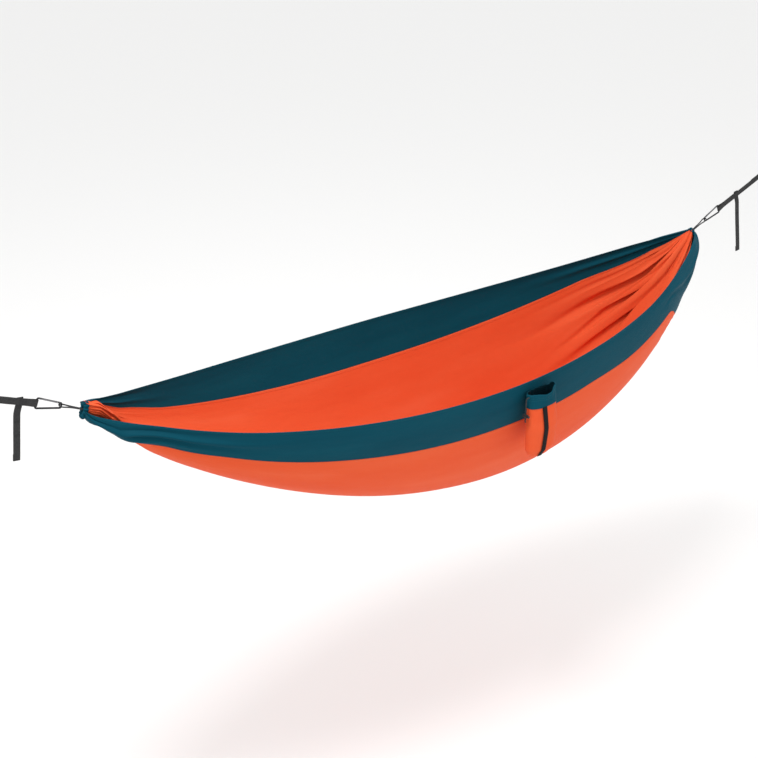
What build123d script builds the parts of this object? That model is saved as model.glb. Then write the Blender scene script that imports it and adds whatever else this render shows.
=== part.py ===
from build123d import *
from math import acos, asin, atan2, cos, degrees, pi, radians, sin, sqrt
import os

os.makedirs("parts", exist_ok=True)

# Camping hammock, hung ready for use. Units mm, Z up.
# The origin is the centre of the left tree strap's eye, and +X points to the right strap's eye.

# ---- driving dimensions: the hung bed ----
gather_span = 2250.0        # straight distance between the two gathered ends
hang_angle = 22.0           # of both suspension lines above the horizontal
cloth = 2.0                 # stand-in thickness of the nylon
rim_half_width = 0.142      # shares of gather_span, at mid span
rim_drop = 0.072
seam_half_width = 0.131
seam_drop = 0.131
keel_drop = 0.269
keel_lean = 0.328           # the bed hangs fuller towards +X
seam_share = 0.77           # where the long seams sit between the keel (0) and a rim (1)
seam_gap = 0.0006
bed_end = 0.985             # the panels stop here, where the end channels take over
station_count = 7           # stations each side of mid span

# ---- driving dimensions: suspension, measured out along the hanging line ----
rope_bar_at = 50.0          # gathered end to the carabiner's rope bar
strap_bar_at = rope_bar_at + 70.0
tee_at = {"left": 170.0, "right": 218.0}
eye_at = 385.0
rope_d = 4.0
bunch_half = (12.0, 21.0)   # gathered end, half width and half height
channel_bore_depth = 13.0
rod_d = 5.0                 # carabiner wire
rope_bar_half = 6.5
strap_bar_half = 14.0
corner_r = 4.2
gate_start, gate_stop = 12.0, 58.5    # along the gate side, from the rope bar's corner
gate_d = 4.8
gate_tongue = 1.8
gate_slot = 2.1
gate_pin_d = 1.6
webbing_w = 19.0
webbing_t = 1.9
soft_clear = 0.3
eye_r = 15.0
tail_length = {"left": 163.0, "right": 220.0}
tail_fold = 18.0

# ---- driving dimensions: stuff sack sewn to the near side ----
sack_station = 0.135
sack_below_rim = 28.0
sack_height = 205.0
collar_height = 40.0
sack_wall = 1.6
stripe_w = 18.0
stripe_t = 1.2
stripe_offset = -12.0
cord_d = 2.0
cord_pitch = 2.3
lock_d = 11.0
lock_length = 13.0
plunger_d = 7.0
plunger_out = 7.0
plunger_travel = 3.5
lock_below_mouth = 62.0
cord_out = 65.0
cord_depth = 24.0

reach = Vector(cos(radians(hang_angle)), 0, sin(radians(hang_angle)))
mid_x = eye_at * reach.X + gather_span / 2
mid_z = -eye_at * reach.Z


# ---- the bed's surface: s runs -1 to 1 from left to right, t runs -1 to 1 from near to far rim ----
def fullness(s, power, bulge):
    return gather_span * (1 - abs(s) ** power) ** bulge


def bed_yz(s, t):
    rim_y = rim_half_width * fullness(s, 1.92, 0.753) * (1 - 0.015 * s)
    seam_y = seam_half_width * fullness(s, 1.92, 0.632) * (1 + 0.054 * s)
    rim_z = -rim_drop * fullness(s, 2.09, 0.775) * (1 + 0.012 * s)
    seam_z = -seam_drop * fullness(s, 2.09, 0.775) * (1 + 0.019 * s)
    keel_z = -keel_drop * fullness(s, 2.09, 0.764) * (1 + keel_lean * s)
    a = seam_share
    y3 = (seam_y - a * rim_y) / (a ** 3 - a)
    z4 = ((seam_z - keel_z) - a * a * (rim_z - keel_z)) / (a ** 4 - a ** 2)
    z2 = rim_z - keel_z - z4
    return (rim_y - y3) * t + y3 * t ** 3, keel_z + z2 * t * t + z4 * t ** 4


def station_x(s):
    return mid_x + s * gather_span / 2


def bed_offset(s, t, out):
    """Point of the bed's section at s, moved outwards (down and away) by out."""
    y, z = bed_yz(s, t)
    ya, za = bed_yz(s, t - 0.002)
    yb, zb = bed_yz(s, t + 0.002)
    run = sqrt((yb - ya) ** 2 + (zb - za) ** 2)
    return y + out * (zb - za) / run, z - out * (yb - ya) / run


def strip_section(s, t_from, t_to, count):
    """One closed section of a cloth panel, on the plane across the bed at s."""
    ts = [t_from + (t_to - t_from) * i / (count - 1) for i in range(count)]
    across = Plane((station_x(s), 0, mid_z), x_dir=(0, 1, 0), z_dir=(1, 0, 0))
    lower = Spline(*[bed_offset(s, t, cloth / 2) for t in ts])
    upper = Spline(*[bed_offset(s, t, -cloth / 2) for t in ts])
    outline = [lower, Line(lower @ 1, upper @ 1), upper, Line(upper @ 0, lower @ 0)]
    return across * Face(Wire(outline))


stations = [bed_end * sin(pi / 2 * i / station_count) for i in range(-station_count, station_count + 1)]

# ---- cloth panels: each strip of cloth runs from end to end, and is drawn as lengths that meet face to face ----
centre_lengths = (("left_end", -bed_end, -0.75), ("left_quarter", -0.75, -0.4), ("left_middle", -0.4, 0.0),
                  ("right_middle", 0.0, 0.4), ("right_quarter", 0.4, 0.75), ("right_end", 0.75, bed_end))
side_lengths = (("left_end", -bed_end, -0.5), ("left_middle", -0.5, 0.0),
                ("right_middle", 0.0, 0.5), ("right_end", 0.5, bed_end))
strips = (("centre_panel", -seam_share, seam_share, 7, centre_lengths),
          ("side_panel_near", -1.0, -seam_share - seam_gap, 4, side_lengths),
          ("side_panel_far", seam_share + seam_gap, 1.0, 4, side_lengths))
for strip, t_from, t_to, count, lengths in strips:
    sections = [strip_section(s, t_from, t_to, count) for s in stations]
    for name, s_from, s_to in lengths:
        with BuildPart() as panel:
            loft(sections)
            if s_from > -bed_end:
                split(bisect_by=Plane((station_x(s_from), 0, 0), z_dir=(1, 0, 0)), keep=Keep.TOP)
            if s_to < bed_end:
                split(bisect_by=Plane((station_x(s_to), 0, 0), z_dir=(1, 0, 0)), keep=Keep.BOTTOM)
        panel.part.label = f"{strip}_{name}"
        export_step(panel.part, f"parts/{strip}_{name}.step")


# ---- suspension, the same at both ends: x runs out along the hanging line ----
def line_point(side, along):
    end = mid_x + side * gather_span / 2
    return (end + side * along * reach.X, 0, mid_z + along * reach.Z)


def line_dir(side):
    return (side * reach.X, 0, reach.Z)


def flat_plane(side, along):
    """Plane of the carabiner: x out along the line, y upwards across it."""
    return Plane(line_point(side, along), x_dir=line_dir(side), z_dir=(0, -side, 0))


def edge_plane(side, along):
    """Plane that sees the webbing edge on: x out along the line, y across its thickness."""
    return Plane(line_point(side, along), x_dir=line_dir(side), z_dir=(-side * reach.Z, 0, reach.X))


def teardrop(centre, radius, tip):
    """A circle on the x axis drawn out to a point at tip."""
    gap = abs(tip - centre)
    toward = 1 if tip > centre else -1
    touch = (centre + toward * radius * radius / gap, radius * sqrt(1 - (radius / gap) ** 2))
    sides = Polyline(touch, (tip, 0), (touch[0], -touch[1])).edges()
    return Face(Wire(sides + [ThreePointArc((touch[0], -touch[1]), (centre - toward * radius, 0), touch)]))


side_length = sqrt(70.0 ** 2 + (strap_bar_half - rope_bar_half) ** 2)
side_run = (70.0 / side_length, (strap_bar_half - rope_bar_half) / side_length)


def gate_side(along):
    """Point on the carabiner's gate side, measured from the rope bar's corner."""
    return (side_run[0] * along, rope_bar_half + side_run[1] * along)


for name, side in (("left", -1), ("right", 1)):
    # gathered end: the sewn channel at the end of the cloth, bunched round the rope
    rim_z = bed_yz(side * bed_end, 1)[1]
    keel_z = bed_yz(side * bed_end, 0)[1]
    wide = bed_yz(side * bed_end, 0.85)[0]
    with BuildPart() as end_channel:
        inner = Plane((station_x(side * bed_end) + side * 0.6, 0, mid_z + (rim_z + keel_z) / 2),
                      x_dir=(0, 1, 0), z_dir=(side, 0, 0))
        with BuildSketch(inner):
            Ellipse(wide, (rim_z - keel_z) / 2)
        face = flat_plane(side, 0).origin
        with BuildSketch(Plane(face, x_dir=(0, 1, 0), z_dir=line_dir(side))):
            Ellipse(*bunch_half)
        loft()
        with BuildSketch(Plane(face, x_dir=(0, 1, 0), z_dir=line_dir(side))):
            SlotOverall(2 * rope_d + 1.2, rope_d + 0.6)
        extrude(amount=-channel_bore_depth, mode=Mode.SUBTRACT)
    end_channel.part.label = f"end_channel_{name}"
    export_step(end_channel.part, f"parts/end_channel_{name}.step")

    # gather rope: a taut loop from the channel round the carabiner's rope bar
    wrap = rod_d / 2 + soft_clear + rope_d / 2
    start = (-channel_bore_depth + 1, rope_d / 2 + 0.05)
    far = Vector(rope_bar_at - start[0], -start[1])
    swing = atan2(far.Y, far.X) + asin(wrap / far.length)
    straight = sqrt(far.length ** 2 - wrap ** 2)
    touch = (start[0] + straight * cos(swing), start[1] + straight * sin(swing))
    with BuildPart() as gather_rope:
        with BuildLine(edge_plane(side, 0)) as rope_path:
            Line(start, touch)
            ThreePointArc(touch, (rope_bar_at + wrap, 0), (touch[0], -touch[1]))
            Line((touch[0], -touch[1]), (start[0], -start[1]))
        with BuildSketch(Plane(rope_path.wire() @ 0, z_dir=rope_path.wire() % 0)):
            Circle(rope_d / 2)
        sweep()
    gather_rope.part.label = f"gather_rope_{name}"
    export_step(gather_rope.part, f"parts/gather_rope_{name}.step")

    # carabiner frame: one bent wire, flattened to a tongue where the gate pivots and where it latches
    plane = flat_plane(side, rope_bar_at)
    hinge = gate_side(gate_start + 3)
    tilt = degrees(atan2(side_run[1], side_run[0]))
    with BuildPart() as carabiner_frame:
        with BuildLine(plane) as wire_path:
            FilletPolyline(gate_side(gate_start), (0, rope_bar_half), (0, -rope_bar_half),
                           (70, -strap_bar_half), (70, strap_bar_half), gate_side(gate_stop),
                           radius=corner_r)
        with BuildSketch(Plane(wire_path.wire() @ 0, z_dir=wire_path.wire() % 0)):
            Circle(rod_d / 2)
        sweep()
        with BuildSketch(plane):
            with Locations(Location((*gate_side(gate_start + 1), 0), (0, 0, tilt))):
                Rectangle(4, 4.2)
            with Locations(hinge):
                Circle(2.1)
            with Locations(Location((*gate_side(gate_stop - 2), 0), (0, 0, tilt))):
                Rectangle(5, 3.2)
        extrude(amount=gate_tongue / 2, both=True)
        with BuildSketch(plane):
            with Locations(hinge):
                Circle(gate_pin_d / 2 + 0.03)
        extrude(amount=rod_d, both=True, mode=Mode.SUBTRACT)
    carabiner_frame.part.label = f"carabiner_frame_{name}"
    export_step(carabiner_frame.part, f"parts/carabiner_frame_{name}.step")

    # carabiner gate: a round bar slotted over both tongues
    gate_end = gate_side(gate_stop - 0.5)
    gate_length = gate_stop - 0.5 - gate_start - 3
    with BuildPart() as carabiner_gate:
        with BuildSketch(Plane(plane.from_local_coords(Vector(*hinge, 0)),
                               x_dir=(0, 1, 0), z_dir=plane.from_local_coords(Vector(*gate_end, 0))
                               - plane.from_local_coords(Vector(*hinge, 0)))):
            Circle(gate_d / 2)
        extrude(amount=gate_length)
        with BuildSketch(plane):
            with Locations(hinge):
                Circle(gate_d / 2)
        extrude(amount=1.9, both=True)
        with BuildSketch(plane):
            with Locations(Location((*gate_side(gate_start + 3 + 2), 0), (0, 0, tilt))):
                Rectangle(11, 9)
            with Locations(Location((*gate_side(gate_stop - 2), 0), (0, 0, tilt))):
                Rectangle(6.4, 9)
        extrude(amount=gate_slot / 2, both=True, mode=Mode.SUBTRACT)
        with BuildSketch(plane):
            with Locations(hinge):
                Circle(gate_pin_d / 2 + 0.05)
        extrude(amount=rod_d, both=True, mode=Mode.SUBTRACT)
    carabiner_gate.part.label = f"carabiner_gate_{name}"
    export_step(carabiner_gate.part, f"parts/carabiner_gate_{name}.step")

    with BuildPart() as gate_pin:
        with BuildSketch(plane):
            with Locations(hinge):
                Circle(gate_pin_d / 2)
        extrude(amount=2.6, both=True)
    gate_pin.part.label = f"gate_pin_{name}"
    export_step(gate_pin.part, f"parts/gate_pin_{name}.step")

    # tree strap: webbing round the strap bar, doubled as far as the tee, then single to its sewn eye
    tee = tee_at[name] - strap_bar_at
    eye = eye_at - strap_bar_at
    loop_r = rod_d / 2 + soft_clear
    front = -side
    loop_outside, loop_inside = teardrop(0, loop_r + webbing_t, 34), teardrop(0, loop_r, 16)
    eye_outside, eye_inside = teardrop(eye, eye_r + webbing_t, eye - 62), teardrop(eye, eye_r, eye - 44)
    with BuildPart() as tree_strap:
        with BuildSketch(edge_plane(side, strap_bar_at)):
            add(loop_outside)
            with Locations(((16 + tee) / 2, 0)):
                Rectangle(tee - 16, 2 * webbing_t)
            with Locations(((tee - 2 + eye - 46) / 2, front * webbing_t / 2)):
                Rectangle(eye - 46 - tee + 2, webbing_t)
            add(eye_outside)
            add([loop_inside, eye_inside], mode=Mode.SUBTRACT)
        extrude(amount=webbing_w / 2, both=True)
    tree_strap.part.label = f"tree_strap_{name}"
    export_step(tree_strap.part, f"parts/tree_strap_{name}.step")

    # bartack: the block of stitching that closes the strap's loop beside the tee
    with BuildPart() as strap_bartack:
        with BuildSketch(flat_plane(side, tee_at[name] - 14)):
            Rectangle(16, webbing_w - 3)
        extrude(amount=webbing_t + 0.5, both=True)
        with BuildSketch(flat_plane(side, tee_at[name] - 14)):
            Rectangle(20, webbing_w)
        extrude(amount=webbing_t, both=True, mode=Mode.SUBTRACT)
    strap_bartack.part.label = f"strap_bartack_{name}"
    export_step(strap_bartack.part, f"parts/strap_bartack_{name}.step")

    # strap tail: the loose end, turned down behind the tee, its tip folded and sewn
    length = tail_length[name]
    back = webbing_t + soft_clear + 0.6
    tee_point = Vector(*line_point(side, tee_at[name]))
    with BuildPart() as strap_tail:
        with BuildSketch(Plane(tee_point + Vector(0, back, 0), x_dir=(1, 0, 0), z_dir=(0, 1, 0))):
            Circle(webbing_w / 2)
            with Locations((0, length / 2)):
                Rectangle(webbing_w, length)
        extrude(amount=webbing_t)
        with BuildSketch(Plane(tee_point + Vector(0, back, 0), x_dir=(1, 0, 0), z_dir=(0, 1, 0))):
            with Locations((0, length - tail_fold / 2)):
                Rectangle(webbing_w, tail_fold)
        extrude(amount=2 * webbing_t)
    strap_tail.part.label = f"strap_tail_{name}"
    export_step(strap_tail.part, f"parts/strap_tail_{name}.step")


# ---- stuff sack: sewn by the back of its mouth to the near side panel ----
near_rim = bed_yz(sack_station, -1)
sew_t = -1.0
while bed_yz(sack_station, sew_t)[1] > near_rim[1] - sack_below_rim:
    sew_t += 0.002
sew_y, sew_z = bed_offset(sack_station, sew_t, cloth / 2 + 0.5)
rim_slope = (bed_yz(sack_station + 0.01, -1)[0] - bed_yz(sack_station - 0.01, -1)[0]) / (0.01 * gather_span)
mouth = Plane((station_x(sack_station), sew_y - 1.5, mid_z + sew_z),
              x_dir=(1, rim_slope, 0), z_dir=(0, 0, 1))

# half width, half depth at each height below the mouth
sack_rings = [(0, 52, 18), (collar_height, 55, 24), (110, 57, 28), (180, 55, 26), (sack_height, 46, 19)]


def rings(sizes, inset=0.0):
    return [mouth.offset(-drop) * Pos(0, -half_d) * Ellipse(half_w - inset, half_d - inset)
            for drop, half_w, half_d in sizes]


collar_outside, collar_inside = rings(sack_rings[:2]), rings(sack_rings[:2], sack_wall)
with BuildPart() as sack_collar:
    loft(collar_outside, ruled=True)
    loft(collar_inside, ruled=True, mode=Mode.SUBTRACT)
sack_collar.part.label = "sack_collar"
export_step(sack_collar.part, "parts/sack_collar.step")

body_rings = [(collar_height + 0.3, 55, 24)] + sack_rings[2:]
body_outside = rings(body_rings)
body_inside = rings(body_rings[:-1] + [(sack_height - sack_wall, 46.8, 19.6)], sack_wall)
with BuildPart() as sack_body:
    loft(body_outside, ruled=True)
    loft(body_inside, ruled=True, mode=Mode.SUBTRACT)
sack_body.part.label = "sack_body"
export_step(sack_body.part, "parts/sack_body.step")

# black webbing stripe down the front of the sack, just under the collar to its base
front_line = [(2 * half_d, -drop) for drop, half_w, half_d in body_rings]
with BuildPart() as sack_stripe:
    side_view = Plane(mouth.from_local_coords(Vector(stripe_offset, 0, 0)),
                      x_dir=-mouth.y_dir, z_dir=-mouth.x_dir)
    with BuildSketch(side_view):
        with BuildLine():
            inner = [(y + 0.1, z) for y, z in front_line]
            outer = [(y + 0.1 + stripe_t, z) for y, z in front_line]
            Polyline(*inner, *reversed(outer), close=True)
        make_face()
    extrude(amount=stripe_w / 2, both=True)
sack_stripe.part.label = "sack_stripe"
export_step(sack_stripe.part, "parts/sack_stripe.step")

# drawcord: both strands leave the end of the mouth, hang down through the lock and meet in a knot
cord_end = lock_below_mouth + 16.0
with BuildPart() as sack_drawcord:
    for lane in (-1, 1):
        drop_x = -cord_out + lane * cord_pitch / 2
        with BuildLine(Plane(mouth.from_local_coords(Vector(0, -cord_depth, 0)),
                             x_dir=mouth.x_dir, z_dir=-mouth.y_dir)) as strand:
            FilletPolyline((-53.5, -7 + lane * cord_pitch / 2), (drop_x, -7 + lane * cord_pitch / 2),
                           (drop_x, -cord_end), radius=6 - lane * cord_pitch / 2)
        with BuildSketch(Plane(strand.wire() @ 0, z_dir=strand.wire() % 0)):
            Circle(cord_d / 2)
        sweep()
    with BuildSketch(mouth.offset(-cord_end)):
        with Locations((-cord_out, -cord_depth)):
            Circle(3.0)
    extrude(amount=6, both=True, taper=12)
sack_drawcord.part.label = "sack_drawcord"
export_step(sack_drawcord.part, "parts/sack_drawcord.step")

# cord lock: a barrel and a sprung plunger, both crossed by the two strands
lock_centre = mouth.from_local_coords(Vector(-cord_out, -cord_depth, -lock_below_mouth))
lock_plane = Plane(lock_centre, x_dir=mouth.x_dir, z_dir=-mouth.y_dir)
with BuildPart() as cord_lock_barrel:
    with BuildSketch(lock_plane):
        Circle(lock_d / 2)
    extrude(amount=lock_length / 2, both=True)
    with BuildSketch(lock_plane.offset(-lock_length / 2 + 1.5)):
        Circle(plunger_d / 2 + 0.08)
    extrude(amount=lock_length, mode=Mode.SUBTRACT)
    with BuildSketch(mouth.offset(-lock_below_mouth)):
        with Locations((-cord_out, -cord_depth)):
            SlotOverall(cord_pitch + cord_d + 0.6, cord_d + 0.6)
    extrude(amount=lock_d, both=True, mode=Mode.SUBTRACT)
cord_lock_barrel.part.label = "cord_lock_barrel"
export_step(cord_lock_barrel.part, "parts/cord_lock_barrel.step")

with BuildPart() as cord_lock_plunger:
    with BuildSketch(lock_plane.offset(-lock_length / 2 + 1.5 + plunger_travel + 0.5)):
        Circle(plunger_d / 2)
    extrude(amount=lock_length - 1.5 - plunger_travel - 0.5 + plunger_out)
    with BuildSketch(mouth.offset(-lock_below_mouth)):
        with Locations((-cord_out, -cord_depth - plunger_travel / 2)):
            Rectangle(cord_pitch + cord_d + 0.4, cord_d + 0.3 + plunger_travel)
    extrude(amount=lock_d, both=True, mode=Mode.SUBTRACT)
cord_lock_plunger.part.label = "cord_lock_plunger"
export_step(cord_lock_plunger.part, "parts/cord_lock_plunger.step")
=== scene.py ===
import math

import bpy
import numpy as np
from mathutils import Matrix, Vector


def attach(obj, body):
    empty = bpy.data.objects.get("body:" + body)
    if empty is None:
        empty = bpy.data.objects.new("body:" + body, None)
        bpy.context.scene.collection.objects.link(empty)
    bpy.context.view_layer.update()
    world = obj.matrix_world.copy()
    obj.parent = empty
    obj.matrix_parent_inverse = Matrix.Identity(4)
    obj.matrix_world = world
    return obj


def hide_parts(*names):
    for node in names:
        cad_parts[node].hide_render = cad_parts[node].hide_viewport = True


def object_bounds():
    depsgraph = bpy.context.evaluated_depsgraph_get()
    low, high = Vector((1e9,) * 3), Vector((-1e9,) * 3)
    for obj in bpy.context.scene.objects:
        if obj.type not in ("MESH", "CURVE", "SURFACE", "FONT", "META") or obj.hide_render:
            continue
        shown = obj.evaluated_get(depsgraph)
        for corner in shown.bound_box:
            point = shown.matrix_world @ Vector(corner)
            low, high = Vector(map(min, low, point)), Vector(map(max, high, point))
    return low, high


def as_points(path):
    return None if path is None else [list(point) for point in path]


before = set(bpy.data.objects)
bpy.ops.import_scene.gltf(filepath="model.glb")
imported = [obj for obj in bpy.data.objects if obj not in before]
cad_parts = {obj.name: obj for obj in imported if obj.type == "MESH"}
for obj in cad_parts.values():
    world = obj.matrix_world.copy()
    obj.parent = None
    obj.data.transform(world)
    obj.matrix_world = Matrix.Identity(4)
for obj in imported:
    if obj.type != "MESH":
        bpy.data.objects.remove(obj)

cad_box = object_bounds()

# ---------------------------------------------------------------- sizes, metres, as in the CAD
SPAN = 2.250                 # between the two gathered ends
HANG = math.radians(22.0)    # suspension lines above the horizontal
ROPE_BAR = 0.050             # distances out along the hanging line from a gathered end
STRAP_BAR = 0.120
TEE = {"left": 0.170, "right": 0.218}
EYE = 0.385
ROPE_D = 0.004
ROD_D = 0.005
WEB_W = 0.019
WEB_T = 0.0019
EYE_R = 0.015
TAIL = {"left": 0.163, "right": 0.220}
SEAM = 0.77                  # t of the long seams; t is 0 at the keel and 1 at a rim
SACK_AT = 0.135              # s of the sack's middle; s is -1 at the left end and 1 at the right
BUNDLE_Y, BUNDLE_Z = 0.0118, 0.0190    # half sizes of the gathered cloth at an end
NEAR_WRAP, FAR_WRAP = 0.05, 0.58       # where a long seam lies on the bundle, in half turns from its foot
SIDE_Y = np.array([0.0, 1.0, 0.0])     # straight away from the viewer's side

REACH = np.array([math.cos(HANG), 0.0, math.sin(HANG)])
MID = np.array([EYE * REACH[0] + SPAN / 2, 0.0, -EYE * REACH[2]])
SIDES = (("left", -1), ("right", 1))


def line_point(side, along):
    return MID + np.array([side * (SPAN / 2 + along * REACH[0]), 0.0, along * REACH[2]])


def line_dir(side):
    return np.array([side * REACH[0], 0.0, REACH[2]])


def across_dir(side):
    return np.array([-side * REACH[2], 0.0, REACH[0]])


def smooth(a, b, x):
    u = np.clip((x - a) / (b - a), 0.0, 1.0)
    return u * u * (3 - 2 * u)


def ripple(x, seed, octaves=4, base=1.0):
    """Smooth, repeatable noise along one coordinate, about -1 to 1."""
    rng = np.random.default_rng(1000 + seed)
    out = np.zeros_like(np.asarray(x, float))
    for k in range(octaves):
        f = base * (1.0 + 0.73 * k + rng.uniform(0, 0.4))
        out = out + np.sin(f * x + rng.uniform(0, 2 * math.pi)) / (1 + 0.6 * k)
    return out / 2.0


# ---------------------------------------------------------------- materials
def material(name, build):
    m = bpy.data.materials.new(name)
    m.use_nodes = True
    nt = m.node_tree
    nt.nodes.clear()
    out = nt.nodes.new("ShaderNodeOutputMaterial")
    bsdf = nt.nodes.new("ShaderNodeBsdfPrincipled")
    nt.links.new(bsdf.outputs["BSDF"], out.inputs["Surface"])
    build(nt, bsdf)
    return m


def node(nt, kind, **values):
    n = nt.nodes.new(kind)
    for key, value in values.items():
        if key in n.inputs:
            n.inputs[key].default_value = value
        else:
            setattr(n, key, value)
    return n


def link(nt, a, b):
    nt.links.new(a, b)


def maths(nt, op, a, b=0.0, clamp=False):
    n = nt.nodes.new("ShaderNodeMath")
    n.operation = op
    n.use_clamp = clamp
    for i, v in enumerate((a, b)):
        if isinstance(v, (int, float)):
            n.inputs[i].default_value = v
        else:
            nt.links.new(v, n.inputs[i])
    return n.outputs[0]


def ramp(nt, fac, stops):
    n = nt.nodes.new("ShaderNodeValToRGB")
    while len(n.color_ramp.elements) < len(stops):
        n.color_ramp.elements.new(0.5)
    for e, (pos, col) in zip(n.color_ramp.elements, stops):
        e.position, e.color = pos, (*col, 1.0)
    nt.links.new(fac, n.inputs["Fac"])
    return n.outputs["Color"]


def mix(nt, fac, a, b):
    n = nt.nodes.new("ShaderNodeMix")
    n.data_type = "RGBA"
    for sock, v in ((n.inputs[0], fac), (n.inputs[6], a), (n.inputs[7], b)):
        if isinstance(v, (int, float)):
            sock.default_value = v
        elif isinstance(v, tuple):
            sock.default_value = (*v, 1.0)
        else:
            nt.links.new(v, sock)
    return n.outputs[2]


def bump(nt, bsdf, heights):
    """Chained bumps: (height socket, distance in metres)."""
    last = None
    for height, dist in heights:
        n = nt.nodes.new("ShaderNodeBump")
        n.inputs["Distance"].default_value = dist
        n.inputs["Strength"].default_value = 1.0
        nt.links.new(height, n.inputs["Height"])
        if last is not None:
            nt.links.new(last, n.inputs["Normal"])
        last = n.outputs["Normal"]
    nt.links.new(last, bsdf.inputs["Normal"])


def scaled_uv(nt, sx, sy):
    uv = nt.nodes.new("ShaderNodeUVMap")
    uv.uv_map = "UVMap"
    m = node(nt, "ShaderNodeMapping")
    m.inputs["Scale"].default_value = (sx, sy, 1.0)
    link(nt, uv.outputs["UV"], m.inputs["Vector"])
    return m.outputs["Vector"]


def nylon(base, dark, light, thread):
    """Calendered nylon taffeta: UV in metres of cloth, u along the hammock and v across it from the seam."""
    def build(nt, bsdf):
        fold = node(nt, "ShaderNodeTexNoise", Scale=1.0, Detail=5.0, Roughness=0.55)
        link(nt, scaled_uv(nt, 1.6, 9.0), fold.inputs["Vector"])
        crinkle = node(nt, "ShaderNodeTexNoise", Scale=1.0, Detail=6.0, Roughness=0.6)
        link(nt, scaled_uv(nt, 22.0, 46.0), crinkle.inputs["Vector"])
        warp = node(nt, "ShaderNodeTexWave", Scale=1.0, Distortion=0.6, Detail=1.0)
        warp.bands_direction = "X"
        link(nt, scaled_uv(nt, 320.0, 320.0), warp.inputs["Vector"])
        weft = node(nt, "ShaderNodeTexWave", Scale=1.0, Distortion=0.6, Detail=1.0)
        weft.bands_direction = "Y"
        link(nt, scaled_uv(nt, 320.0, 320.0), weft.inputs["Vector"])
        weave = maths(nt, "MULTIPLY", warp.outputs["Fac"], weft.outputs["Fac"])
        # painted light: a broad noise spreads the painted-shade (dark) and painted-highlight (light) copies of
        # the colour over the cloth
        painted_light_tone = ramp(nt, fold.outputs["Fac"], [(0.25, dark), (0.5, base), (0.78, light)])
        # two rows of lock stitching beside every seam and hem, dashed every 3.4 mm
        uv = nt.nodes.new("ShaderNodeUVMap")
        uv.uv_map = "UVMap"
        sep = nt.nodes.new("ShaderNodeSeparateXYZ")
        link(nt, uv.outputs["UV"], sep.inputs[0])
        dash = maths(nt, "LESS_THAN", maths(nt, "PINGPONG", sep.outputs[0], 0.0017), 0.00125)
        rows = None
        for at in (0.0022, 0.0078):
            away = maths(nt, "ABSOLUTE", maths(nt, "SUBTRACT", sep.outputs[1], at))
            near = maths(nt, "LESS_THAN", away, 0.00038)
            rows = near if rows is None else maths(nt, "MAXIMUM", rows, near)
        stitch = maths(nt, "MULTIPLY", rows, dash)
        tint = mix(nt, maths(nt, "MULTIPLY", weave, 0.16), painted_light_tone, tuple(c * 0.6 for c in base))
        link(nt, mix(nt, stitch, tint, thread), bsdf.inputs["Base Color"])
        rough = node(nt, "ShaderNodeMapRange")
        rough.inputs["To Min"].default_value = 0.46
        rough.inputs["To Max"].default_value = 0.60
        link(nt, crinkle.outputs["Fac"], rough.inputs["Value"])
        link(nt, rough.outputs[0], bsdf.inputs["Roughness"])
        bsdf.inputs["Sheen Weight"].default_value = 0.01
        bsdf.inputs["Sheen Roughness"].default_value = 0.4
        bsdf.inputs["Specular IOR Level"].default_value = 0.03
        bump(nt, bsdf, [(crinkle.outputs["Fac"], 0.0012), (weave, 0.00008), (stitch, 0.0003)])
    return build


def webbing(base, light):
    """Woven webbing: UV in metres, u along and v across from the middle."""
    def build(nt, bsdf):
        uv = nt.nodes.new("ShaderNodeUVMap")
        uv.uv_map = "UVMap"
        sep = nt.nodes.new("ShaderNodeSeparateXYZ")
        link(nt, uv.outputs["UV"], sep.inputs[0])
        across = maths(nt, "ABSOLUTE", sep.outputs[1])
        # herringbone: diagonal yarns that change hand every 2.4 mm across the width
        zig = maths(nt, "PINGPONG", sep.outputs[1], 0.0024)
        yarn = maths(nt, "PINGPONG", maths(nt, "ADD", sep.outputs[0], zig), 0.0008)
        yarn = maths(nt, "MULTIPLY", yarn, 1250.0)
        rib = maths(nt, "MULTIPLY", maths(nt, "PINGPONG", sep.outputs[1], 0.0006), 1600.0)
        fuzz = node(nt, "ShaderNodeTexNoise", Scale=1.0, Detail=4.0)
        link(nt, scaled_uv(nt, 160.0, 420.0), fuzz.inputs["Vector"])
        height = maths(nt, "ADD", maths(nt, "MULTIPLY", yarn, 0.7), maths(nt, "MULTIPLY", rib, 0.3))
        edge = maths(nt, "GREATER_THAN", across, WEB_W / 2 - 0.0012)
        lint = maths(nt, "MULTIPLY", fuzz.outputs["Fac"], 0.6)
        tone = maths(nt, "ADD", maths(nt, "MULTIPLY", height, 0.5), lint)
        col = ramp(nt, tone, [(0.2, base), (0.85, light)])
        link(nt, mix(nt, maths(nt, "MULTIPLY", edge, 0.4), col, tuple(c * 0.5 for c in base)),
             bsdf.inputs["Base Color"])
        bsdf.inputs["Roughness"].default_value = 0.78
        bsdf.inputs["Specular IOR Level"].default_value = 0.15
        bump(nt, bsdf, [(height, 0.00035), (fuzz.outputs["Fac"], 0.0002)])
    return build


def thread(base, light):
    def build(nt, bsdf):
        n = node(nt, "ShaderNodeTexNoise", Scale=900.0, Detail=3.0)
        tc = nt.nodes.new("ShaderNodeTexCoord")
        link(nt, tc.outputs["Object"], n.inputs["Vector"])
        link(nt, ramp(nt, n.outputs["Fac"], [(0.3, base), (0.7, light)]), bsdf.inputs["Base Color"])
        bsdf.inputs["Roughness"].default_value = 0.7
        bsdf.inputs["Sheen Weight"].default_value = 0.05
        bump(nt, bsdf, [(n.outputs["Fac"], 0.0002)])
    return build


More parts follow.
